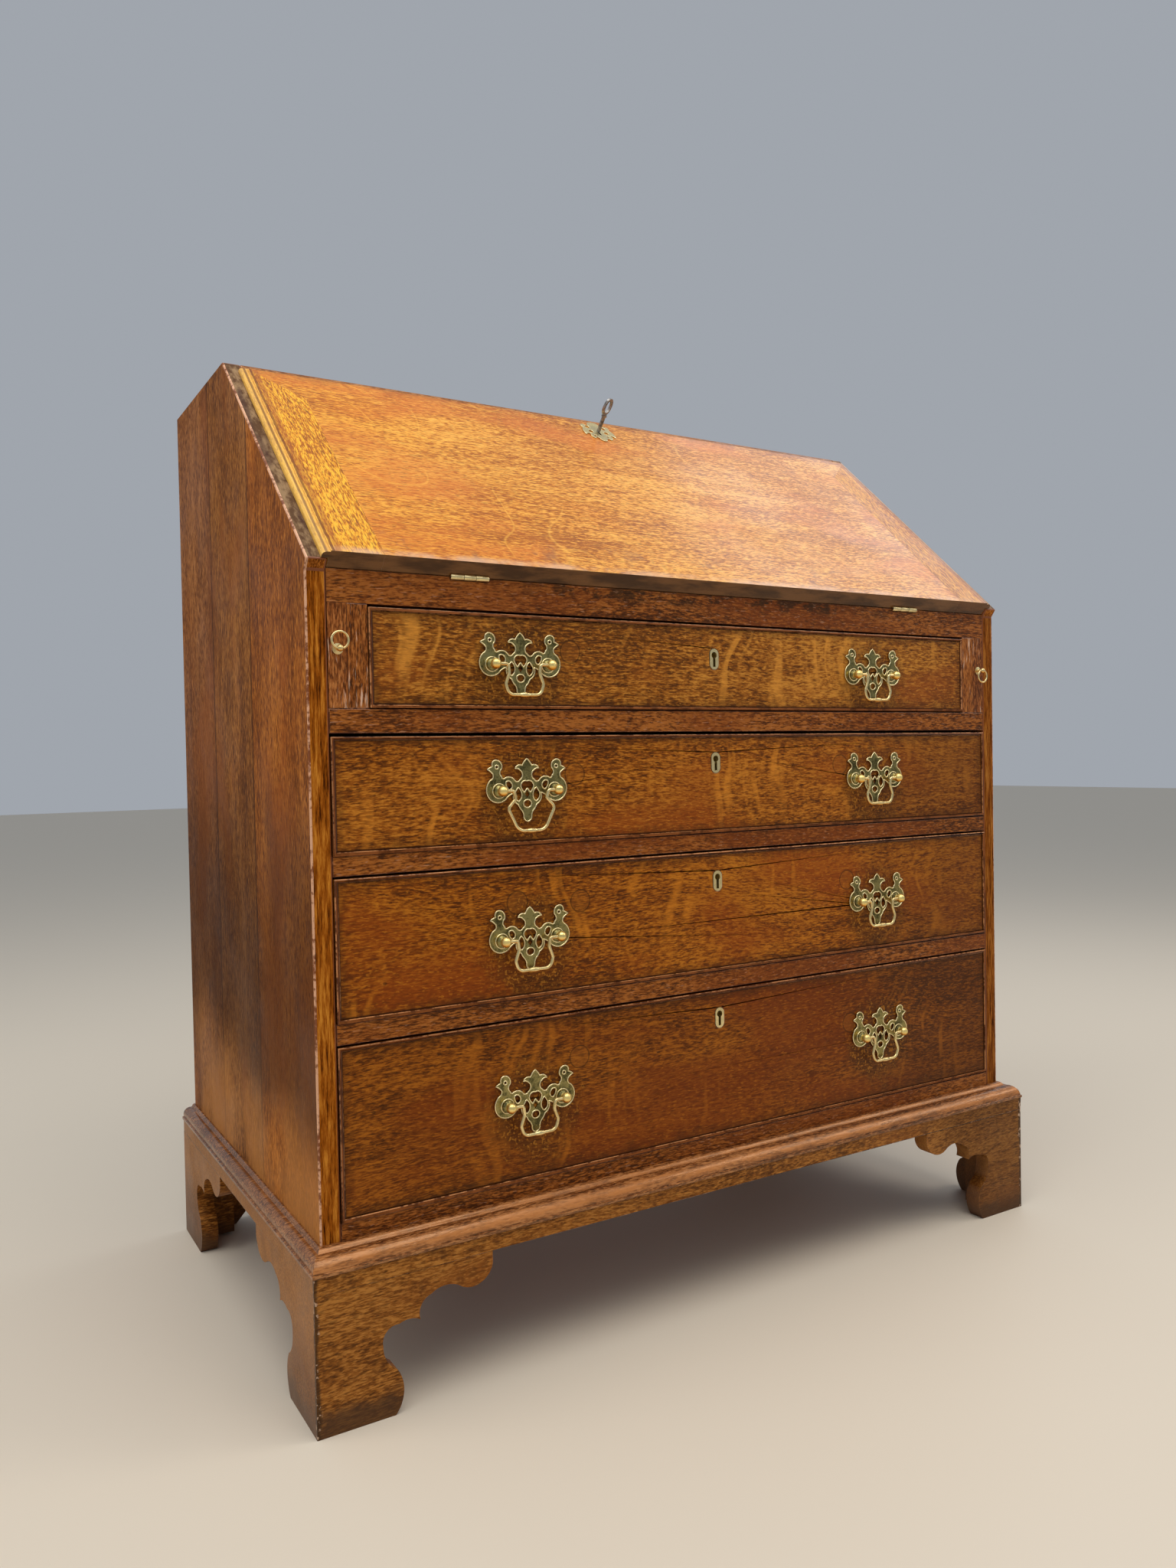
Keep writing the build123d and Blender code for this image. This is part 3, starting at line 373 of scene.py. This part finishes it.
# --- what age and use did to particular pieces --------------------------------------------------------
def drawer_marks(number):
    """Handle halos, dark rings where lost handles were plugged, painted shade towards the right and along the
    bead's crease, on one drawer.
    """
    left, right = handles[f"bail_{number}_left_swing"], handles[f"bail_{number}_right_swing"]
    low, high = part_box(f"drawer_{number}_front")
    ghosts = {
        1: [(left, 59, 15)],
        2: [(left, 57, 15), (right, -56, 18)],
        3: [(left, 61, 33), (left, -13, 37), (right, -49, 28)],
        4: [(left, 54, 37), (right, -49, 20)],
    }[number]  # from a handle's middle, in millimetres

    def touch(g, colour):
        x, y, z = g.separate()
        face = g.combine(x, 0.0, z)
        ragged = g.noise((70, 70, 70), 4.0, 0.7)
        for centre in (left, right):
            away = g.vector("DISTANCE", face, (centre.x, 0.0, centre.z - 0.008))
            halo = g.step(g.jitter(away, ragged, 0.06), 0.062, 0.036)
            colour = g.mix(g.times(halo, 0.55), colour, srgb(62, 30, 6))
            grains = g.step(g.noise((320, 320, 320), 1.0, shift=(3, 5, 9)), 0.56, 0.66)
            colour = g.mix(g.times(halo, grains, 0.55), colour, srgb(196, 128, 40))
        for centre, dx, dz in ghosts:
            away = g.vector("DISTANCE", face, (centre.x + dx / 1000, 0.0, centre.z + dz / 1000))
            colour = g.mix(g.times(g.band(away, plug_radius, 0.0004, 0.0007), 0.6), colour, srgb(40, 18, 4))
            colour = g.mix(g.times(g.step(away, plug_radius, 0.0105), 0.30), colour, srgb(150, 86, 26))
        # Darker towards the right of the front, less on the top drawer: painted shade.
        aside = g.jitter(x, g.noise((3, 6, 6), 2.0), 0.4)
        darker = 0.10 if number == 1 else 0.42
        colour = g.mix(g.times(g.step(aside, 0.16, 0.38), darker), colour, srgb(60, 22, 2))
        border = g.math("MINIMUM", g.math("SUBTRACT", z, low.z), g.math("SUBTRACT", high.z, z))
        border = g.math("MINIMUM", g.math("SUBTRACT", high.x, g.math("ABSOLUTE", x)), border)
        grime_and_painted_shade = g.step(g.jitter(border, ragged, 0.035), 0.016, 0.002)
        colour = g.mix(g.times(grime_and_painted_shade, 0.45), colour, srgb(54, 24, 6))
        # A dark line where the bead meets the face: painted shade in the crease.
        colour = g.mix(g.times(g.band(border, 0.0037, 0.0004, 0.0008), 0.7), colour, srgb(34, 14, 3))
        bead = g.step(y, carcass_front - 0.0003, carcass_front - 0.0008)
        worn = g.step(g.noise((60, 60, 60), 3.0, 0.6, shift=(7, 1, 1)), 0.36, 0.56)
        return g.mix(bead, colour, g.mix(worn, srgb(84, 40, 14), srgb(134, 74, 34)))
    return touch


def side_marks(g, colour):
    """Three boards of different tone on the face, a painted dark reflection part way up, a painted glow of
    floor light low down, a strip of grime along the slope, a golden front edge on the left side and, on the
    right, one tinted darker and bluer as painted shade.
    """
    x, y, z = g.separate()
    front_board = g.step(y, front_joint + 0.002, front_joint - 0.002)
    colour = g.tinted(g.times(front_board, 0.7), colour, (1.40, 1.16, 0.70))
    back_board = g.step(y, back_joint - 0.003, back_joint + 0.004)
    colour = g.tinted(g.times(back_board, 0.6), colour, (0.92, 0.90, 1.35))
    for at in (front_joint, back_joint):
        colour = g.mix(g.times(g.band(y, at, 0.0009, 0.0022), 0.70), colour, srgb(44, 18, 5))
    stain = g.step(g.noise((3, 9, 3.5), 3.0, 0.6, shift=(0, 4, 2)), 0.50, 0.68)
    colour = g.mix(g.times(stain, 0.35), colour, srgb(70, 34, 20))
    # Lighter towards the bottom of the side: a painted glow of light thrown up from the floor.
    painted_floor_glow = g.times(g.step(z, 0.40, 0.17), g.step(g.noise((3, 8, 6), 2.0), 0.35, 0.6))
    colour = g.mix(g.times(painted_floor_glow, 0.65), colour, srgb(188, 126, 66))
    # A darker band part way up the side: a painted dark reflection.
    shade = g.jitter(z, g.noise((2, 3, 3), 2.0), 0.25)
    painted_dark_reflection = g.times(g.step(shade, 0.66, 0.42), g.step(shade, 0.20, 0.30))
    colour = g.mix(g.times(painted_dark_reflection, 0.66), colour, srgb(52, 20, 3))
    grime = g.noise((110, 40, 40), 4.0, 0.7, shift=(1, 2, 3))
    strip = g.mix(g.step(grime, 0.40, 0.64), srgb(92, 66, 46), srgb(152, 124, 92))
    strip = g.mix(g.times(g.step(g.noise((60, 9, 9), 2.0), 0.5, 0.62), 0.6), strip, srgb(70, 48, 46))
    colour = g.mix(g.facing(off_slope), colour, strip)
    tones = [(0.34, srgb(56, 20, 2)), (0.50, srgb(152, 80, 14)), (0.66, srgb(206, 134, 46))]
    grain = g.ramp(g.noise((420, 10, 30), 4.0, 0.75), tones)
    # The front edge of the right side tinted darker and bluer: painted shade.
    grain = g.tinted(g.times(g.step(x, -0.1, 0.1), 0.7), grain, (0.62, 0.64, 1.1))
    return g.mix(g.facing((0, -1, 0)), colour, grain)


def fall_marks(g, colour):
    """Amber toward the left end, a painted window glare toward the right, inky stains low down, painted shade
    on the downward-facing lower edge.
    """
    x, y, z = g.separate()
    up = g.vector("DOT_PRODUCT", g.vector("SUBTRACT", g.place, tuple(hinge_point)), tuple(up_slope))
    uneven = g.jitter(x, g.noise((3, 3, 3), 2.0), 0.5)
    amber = g.step(uneven, 0.05, -0.42)
    colour = g.tinted(g.times(amber, 0.85), colour, (1.02, 0.95, 0.38))
    # Paler and bluer towards the right end: a painted glare of window light.
    painted_glare = g.step(uneven, 0.0, 0.44)
    colour = g.tinted(g.times(painted_glare, 0.45), colour, (1.0, 1.04, 1.45))
    blot = g.noise((16, 16, 16), 4.0, 0.7, shift=(2, 2, 7))
    low = g.step(up, 0.075, 0.012)
    colour = g.mix(g.times(g.step(blot, 0.54, 0.66), low, 0.6), colour, srgb(120, 74, 62))
    rubbed = g.step(up, 0.014, 0.004)
    colour = g.mix(g.times(rubbed, g.step(blot, 0.35, 0.60), 0.65), colour, srgb(226, 184, 150))
    top = g.step(up, fall_length - 0.030, fall_length - 0.004)
    colour = g.mix(g.times(top, g.step(blot, 0.36, 0.60), 0.55), colour, srgb(150, 84, 36))
    for at in (-fall_half, fall_half):  # the moulded lip at either end: a painted highlight along the nose and painted shade in three quirks
        edge = g.math("ABSOLUTE", g.math("SUBTRACT", x, at))
        colour = g.mix(g.times(g.step(edge, 0.0095, 0.008), 0.6), colour, srgb(244, 196, 104))
        colour = g.mix(g.times(g.band(edge, 0.0042, 0.0007, 0.0010), 0.75), colour, srgb(104, 56, 18))
        waver = g.jitter(edge, blot, 0.003)
        colour = g.mix(g.times(g.band(waver, 0.0104, 0.0010, 0.0010), 0.80), colour, srgb(112, 56, 14))
        colour = g.mix(g.times(g.band(waver, 0.0155, 0.0016, 0.0028), 0.55), colour, srgb(158, 82, 26))
    # The downward-facing lower edge painted dark brown: painted shade.
    painted_down_faces = g.facing(-up_slope, 0.75, 0.92)
    grime_and_painted_shade = g.mix(g.step(g.noise((14, 60, 60), 4.0, 0.6), 0.40, 0.62), srgb(66, 38, 14), srgb(118, 78, 42))
    return g.mix(painted_down_faces, colour, grime_and_painted_shade)


def foot_marks(g, colour):
    """Damp at the bottom of a bracket foot, dark bruises on its face, painted shadow on the right foot, a
    greyed side and a knocked corner.
    """
    x, y, z = g.separate()
    blot = g.noise((26, 26, 26), 4.0, 0.7, shift=(5, 0, 3))
    height = g.jitter(z, blot, 0.05)
    colour = g.mix(g.times(g.step(height, 0.030, 0.008), 0.8), colour, srgb(66, 46, 34))
    colour = g.mix(g.times(g.step(blot, 0.55, 0.68), 0.6), colour, srgb(70, 34, 12))
    # The right foot darker: painted shadow.
    colour = g.mix(g.times(g.step(x, 0.28, 0.36), 0.45), colour, srgb(52, 26, 8))
    inward = g.math("SUBTRACT", foot_x, g.math("ABSOLUTE", x))
    corner = g.math("MAXIMUM", inward, g.math("SUBTRACT", y, foot_y))
    corner = g.step(g.jitter(corner, blot, 0.012), 0.0050, 0.0015)
    fleck = g.step(g.noise((260, 260, 190), 2.0, 0.6, shift=(1, 6, 6)), 0.58, 0.66)
    knocked = g.mix(fleck, srgb(48, 30, 20), srgb(206, 176, 150))
    side_face = g.math("MAXIMUM", g.facing((-1, 0, 0)), g.facing((1, 0, 0)))
    greyed = g.mix(g.step(height, 0.03, 0.10), srgb(112, 82, 62), srgb(166, 112, 60))
    colour = g.mix(g.times(side_face, 0.5), colour, greyed)
    return g.mix(g.times(corner, 0.85), colour, knocked)


def moulding_marks(g, colour):
    """A streaky painted highlight on the faces of the front length that look up and forward, and painted shade
    where they turn down.
    """
    # Faces that look up and forward: a pale, streaky painted highlight.
    painted_highlight = g.facing((0, -0.77, 0.64), 0.86, 0.99)
    streaks = g.step(g.noise((26, 160, 160), 4.0, 0.7, shift=(3, 1, 2)), 0.36, 0.60, 0.25, 0.85)
    colour = g.mix(g.times(painted_highlight, streaks), colour, srgb(190, 120, 60))
    # Faces that look down and forward darkened: painted shade.
    painted_down_faces = g.facing((0, -0.6, -0.8), 0.5, 0.95)
    return g.mix(g.times(painted_down_faces, 0.6), colour, srgb(56, 26, 10))


def clamp_marks(g, colour):
    """The clamps age with the panel and take its painted glare, the right one tinted darker and warmer so that
    it shows less of it.
    """
    colour = fall_marks(g, colour)
    # The right clamp darker and warmer: painted shade, which also takes back part of the painted glare.
    return g.tinted(g.step(g.separate()[0], 0.1, 0.3), colour, (0.78, 0.62, 0.34))


def rail_marks(g, colour):
    """Black speckled staining along the top rail below the hinges, paler scuffs elsewhere."""
    x, y, z = g.separate()
    blot = g.noise((40, 90, 90), 4.0, 0.75, shift=(9, 0, 3))
    high = g.times(g.step(z, 0.768, 0.782), g.band(x, 0.02, 0.16, 0.18))
    colour = g.mix(g.times(g.step(blot, 0.48, 0.58), high, 0.8), colour, srgb(26, 14, 10))
    scuff = g.step(g.noise((90, 420, 420), 2.0, 0.6, shift=(3, 3, 1)), 0.60, 0.70)
    return g.mix(g.times(scuff, 0.45), colour, srgb(190, 140, 108))


def board_tones(g, colour):
    """Each back board a little lighter or darker than the next."""
    x = g.separate()[0]
    board = g.math("FLOOR", g.math("DIVIDE", g.math("ADD", x, inner_half), back_pitch))
    shade = g.node("ShaderNodeTexWhiteNoise", noise_dimensions="1D")
    g.put(shade.inputs["W"], board)
    return g.mix(g.step(shade.outputs["Value"], 0.0, 1.0, 0.0, 0.42), colour, srgb(72, 46, 26))


def scratched(g, colour):
    """White knocks and scratches across the loper ends and the partitions beside them."""
    nick = g.step(g.noise((420, 420, 34), 3.0, 0.6, shift=(2, 8, 8)), 0.56, 0.66)
    where = g.step(g.noise((45, 45, 26), 2.0, 0.5, shift=(0, 0, 4)), 0.47, 0.58)
    return g.mix(g.times(nick, where, 0.75), colour, srgb(232, 196, 170))


# --- metals -------------------------------------------------------------------------------------------
def brass(name, base, dark, rough, tarnish, painted_underglow=None, rubbed=None):
    """Cast brass, cloudy with tarnish.

    Its warm colour for downward faces is a painted reflection of the wood below, and rubbed the bright colour
    of the posts, which stand more than 4 mm before the carcass.
    """
    g = Graph(name)
    cloud = g.noise((90, 90, 90), 4.0, 0.6)
    speck = g.noise((600, 600, 600), 2.0)
    amount = g.step(g.math("ADD", g.times(cloud, 0.7), g.times(speck, 0.3)), 0.40, 0.66)
    colour = g.mix(g.times(amount, tarnish), base, dark)
    if rubbed:
        forward = g.step(g.separate()[1], carcass_front - 0.0035, carcass_front - 0.0045)
        colour = g.mix(forward, colour, rubbed)
    # Downward faces made warm orange: a painted reflection.
    if painted_underglow:
        painted_down_faces = g.facing((0, 0, -1), 0.1, 0.8)
        colour = g.mix(g.times(painted_down_faces, forward) if rubbed else painted_down_faces, colour, painted_underglow)
    roughness = g.step(cloud, 0.3, 0.7, rough, rough + 0.2)
    g.bump(g.math("ADD", cloud, g.times(speck, 0.4)), 0.25, 0.0003)
    return g.finish(colour, roughness, metal=1.0)


def iron(name, base):
    """Forged iron, mottled with rust and handling."""
    g = Graph(name)
    cloud = g.noise((160, 160, 160), 4.0, 0.6)
    colour = g.mix(g.step(cloud, 0.42, 0.66), base, dim(base, 0.45))
    g.bump(cloud, 0.3, 0.0003)
    return g.finish(colour, g.step(cloud, 0.3, 0.7, 0.38, 0.62), metal=0.85)


# --- cast rims round the pierced plates ---------------------------------------------------------------
same_level = 0.0002  # faces this close together lie in one plane
same_spot = 0.00001  # corners this close together are one


def outlines(name, facing):
    """The closed outlines of the widest flat face of a node that looks along facing."""
    mesh = nodes[name].data
    mesh.calc_loop_triangles()
    levels = {}
    for triangle in mesh.loop_triangles:
        corners = [mesh.vertices[i].co for i in triangle.vertices]
        normal = (corners[1] - corners[0]).cross(corners[2] - corners[0])
        if normal.length > 0 and normal.normalized().dot(facing) > 0.999:
            level = round(corners[0].dot(facing) / same_level)
            levels.setdefault(level, []).append((normal.length, corners))
    flat = max(levels.values(), key=lambda rows: sum(size for size, corners in rows))
    spots, edges = {}, {}
    for size, corners in flat:
        keys = []
        for corner in corners:
            key = tuple(round(c / same_spot) for c in corner)
            spots[key] = corner.copy()
            keys.append(key)
        for a, b in zip(keys, keys[1:] + keys[:1]):
            edges[frozenset((a, b))] = edges.get(frozenset((a, b)), 0) + 1
    after = {}
    for pair, count in edges.items():
        if count == 1 and len(pair) == 2:
            a, b = pair
            after.setdefault(a, []).append(b)
            after.setdefault(b, []).append(a)
    loops, used = [], set()
    for start in after:
        if start in used:
            continue
        loop, here = [], start
        while here is not None:
            used.add(here)
            loop.append(spots[here])
            here = next((n for n in after[here] if n not in used), None)
        if len(loop) > 5:
            loops.append(loop)
    return loops


def roundels(number):
    """A raised ring round each post of one drawer's two plates."""
    level = outlines(f"drawer_{number}_handle_mounts", Vector((0, -1, 0)))[0][0].y
    turns = [math.tau * i / 28 for i in range(28)]
    rings = []
    for hand in ("left", "right"):
        middle = handles[f"bail_{number}_{hand}_swing"]
        for side in (-1, 1):
            x = middle.x + side * post_reach
            rings.append([Vector((x + post_ring * math.cos(a), level, middle.z + post_ring * math.sin(a)))
                          for a in turns])
    return rings


def rims(name, facing, body, material, radius, extra=(), sink=0.0):
    """A rounded rim on every outline of a pierced plate, as the casting has, sunk that far into its face."""
    curve = bpy.data.curves.new(f"{name}_rims", "CURVE")
    curve.dimensions = "3D"
    curve.bevel_depth = radius
    curve.bevel_resolution = 1
    for loop in outlines(name, facing) + list(extra):
        line = curve.splines.new("POLY")
        line.points.add(len(loop) - 1)
        for point, place in zip(line.points, loop):
            point.co = (*(place - facing * sink), 1)
        line.use_cyclic_u = True
    drawn = bpy.data.objects.new(f"{name}_rims_curve", curve)
    bpy.context.scene.collection.objects.link(drawn)
    bpy.context.view_layer.update()
    mesh = bpy.data.meshes.new_from_object(drawn.evaluated_get(bpy.context.evaluated_depsgraph_get()))
    bpy.data.objects.remove(drawn)
    mesh.materials.clear()
    mesh.materials.append(material)
    for polygon in mesh.polygons:
        polygon.use_smooth = True
    piece = bpy.data.objects.new(f"{name}_rims", mesh)
    bpy.context.scene.collection.objects.link(piece)
    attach(piece, body)


# --- applying materials and softened edges ------------------------------------------------------------
def dress(name, material, edge, bevel):
    """Gives a CAD node its material, and softened arrises with their own worn material."""
    piece = nodes[name]
    piece.data.materials.clear()
    piece.data.materials.append(material)
    if edge:
        piece.data.materials.append(edge)
    if bevel:
        weld = piece.modifiers.new("weld", "WELD")
        weld.merge_threshold = 0.00002
        soften = piece.modifiers.new("arris", "BEVEL")
        soften.width = bevel
        soften.segments = 2
        soften.limit_method = "ANGLE"
        soften.angle_limit = math.radians(35)
        soften.use_clamp_overlap = True
        if edge:
            soften.material = 1


# --- the woods ----------------------------------------------------------------------------------------
def make_woods():
    """Every oak the desk is made of, by name."""
    recipes = {
        "fall": dict(along="x", tones=[(160, 88, 20), (216, 140, 50), (240, 178, 86)], offset=1.0, tilt=slope,
                     warm=(208, 116, 50), dashes=0.5, specks=0.4, contrast=1.35, curls=0.32, rough=0.40,
                     coat=0.3, specular=0.3, touch=fall_marks),
        "clamp": dict(along="y", tones=[(160, 90, 14), (220, 146, 36), (246, 190, 70)], offset=4.0, tilt=slope,
                      contrast=1.4, rough=0.42, coat=0.3, specular=0.3, touch=clamp_marks),
        "side": dict(along="z", tones=[(88, 46, 14), (138, 82, 32), (178, 118, 56)], offset=2.0,
                     warm=(144, 80, 28), dashes=0.45, specks=0.25, contrast=1.1, rough=0.55, specular=0.08,
                     touch=side_marks),
        "top": dict(along="x", tones=[(100, 56, 24), (150, 94, 48), (184, 128, 76)], offset=9.0),
        "rail": dict(along="x", tones=[(66, 28, 8), (122, 62, 18), (166, 98, 40)], offset=3.0,
                     warm=(120, 54, 14), dashes=0.55, contrast=1.3, touch=rail_marks),
        "partition": dict(along="z", tones=[(72, 32, 10), (136, 72, 26), (178, 110, 52)], offset=13.0,
                          touch=scratched),
        "loper": dict(along="z", tones=[(84, 38, 14), (142, 78, 34), (186, 118, 62)], offset=11.0,
                      touch=scratched),
        "moulding": dict(along="x", tones=[(60, 28, 10), (120, 68, 30), (176, 118, 68)], offset=6.0,
                         dashes=0.30, rough=0.24, coat=0.12, specular=1.0, tint=(1.0, 0.66, 0.40),
                         touch=moulding_marks),
        "foot": dict(along="x", tones=[(82, 42, 10), (136, 80, 26), (178, 118, 52)], offset=7.0,
                     warm=(126, 68, 20), dashes=0.45, touch=foot_marks),
        "inner": dict(along="x", tones=[(120, 78, 40), (166, 118, 68), (198, 150, 94)], offset=8.0, dashes=0.4,
                      rough=0.6),
        "lining_side": dict(along="y", tones=[(138, 98, 56), (186, 142, 90), (212, 174, 122)], offset=15.0,
                            dashes=0.4, rough=0.65),
        "back": dict(along="z", tones=[(92, 62, 36), (138, 100, 62), (168, 130, 86)], offset=14.0, dashes=0.5,
                     rough=0.7, touch=board_tones),
    }
    woods = {name: oak(f"{name}_oak", **recipe) for name, recipe in recipes.items()}
    # Each drawer's tones darker than those of the drawer above it: painted shade towards the bottom.
    drawers = [((84, 42, 8), (148, 84, 20), (200, 134, 50), (152, 76, 20)),
               ((80, 36, 4), (144, 76, 12), (192, 120, 36), (142, 64, 10)),
               ((76, 32, 3), (138, 70, 8), (186, 112, 26), (138, 58, 6)),
               ((64, 26, 2), (118, 58, 6), (164, 94, 20), (116, 46, 4))]
    for i, (*tones, warm) in enumerate(drawers):
        woods[f"drawer_{i + 1}"] = oak(f"drawer_oak_{i + 1}", "x", tones, offset=5.0 + 3.1 * i, warm=warm,
                                       dashes=0.32, rays=0.60, touch=drawer_marks(i + 1))
    return woods


def make_edges():
    """The worn arrises of each kind of piece; on the fall and the drawers their pale is partly a painted
    highlight.
    """
    return {
        # The fall's edges almost all pale, near white: partly wear, partly a painted highlight.
        "fall": arris("fall_arris", srgb(206, 146, 84), srgb(246, 228, 204), 0.95),
        "side": arris("side_arris", srgb(130, 68, 24), srgb(226, 172, 134), 0.56, toward="out"),
        "drawer": arris("drawer_arris", srgb(78, 36, 10), srgb(204, 140, 88), 0.56, toward="up"),
        "rail": arris("rail_arris", srgb(90, 44, 18), srgb(160, 104, 66), 0.35),
        "foot": arris("foot_arris", srgb(54, 32, 20), srgb(178, 140, 112), 0.30, along=90.0),
        "inner": arris("inner_arris", srgb(150, 104, 58), srgb(204, 164, 112), 0.5),
    }


def make_metals():
    """Brass and iron, each by what it's for."""
    return {
        "plate": brass("plate_brass", (0.34, 0.29, 0.11), (0.05, 0.045, 0.018), 0.26, 0.9,
                       painted_underglow=(0.90, 0.40, 0.04), rubbed=(0.95, 0.74, 0.28)),
        "rim": brass("rim_brass", (0.92, 0.80, 0.46), (0.60, 0.46, 0.20), 0.20, 0.45),
        "bail": brass("bail_brass", (0.88, 0.72, 0.36), (0.50, 0.34, 0.12), 0.22, 0.5,
                      painted_underglow=(0.80, 0.36, 0.05)),
        "pale": brass("pale_brass", (0.84, 0.69, 0.36), (0.42, 0.36, 0.17), 0.28, 0.5),
        "iron": iron("dark_iron", (0.34, 0.33, 0.32)),
    }


def finish_of(name):
    """The wood or metal of a CAD node, its worn edge and the width of its bevel."""
    if name == "fall_panel":
        return "fall", "fall", 0.0012
    if name == "fall_clamps":
        return "clamp", "fall", 0.0012
    if name.startswith("side_"):
        return "side", "side", 0.0018
    if name == "top_board":
        return "top", "side", 0.001
    if name in ("top_rail", "drawer_rails", "carcass_bottom"):
        return "rail", "rail", 0.0008
    if name == "loper_partitions":
        return "partition", "rail", 0.0008
    if name in ("loper_left", "loper_right"):
        return "loper", "drawer", 0.001
    if name == "base_moulding":
        return "moulding", None, 0.0
    if name == "plinth_frame" or name.startswith("foot_"):
        return "foot", "foot", 0.001
    if name.startswith("drawer_") and name.endswith("_front"):
        return name[:8], "drawer", 0.0009
    if name.endswith("handle_mounts"):
        return "plate", "rim", 0.0004
    if "bail" in name or "ring" in name or "pull" in name:
        return "bail", None, 0.0
    if name == "fall_escutcheon" or name.endswith("_lock") or name.startswith("hinge"):
        return "pale", "rim", 0.0004
    if name in ("key", "fall_lock_case", "fall_lock_bolt"):
        return "iron", None, 0.0
    if name == "back_boards":
        return "back", "inner", 0.001
    if name.endswith("_box") or name == "drawer_runners":
        return "lining_side", "inner", 0.0006
    return "inner", "inner", 0.0008


make_camera()
make_light()
make_floor()
finishes = {**make_woods(), **make_metals()}
edges = make_edges()
edges["rim"] = finishes["rim"]

for name in nodes:
    surface, edge, width = finish_of(name)
    dress(name, finishes[surface], edges.get(edge), width)

for number in range(1, 5):
    rims(f"drawer_{number}_handle_mounts", Vector((0, -1, 0)), f"drawer_{number}",
         finishes["rim"], 0.00075, roundels(number))
rims("fall_escutcheon", off_slope, "fall", finishes["rim"], 0.0005, sink=0.0004)
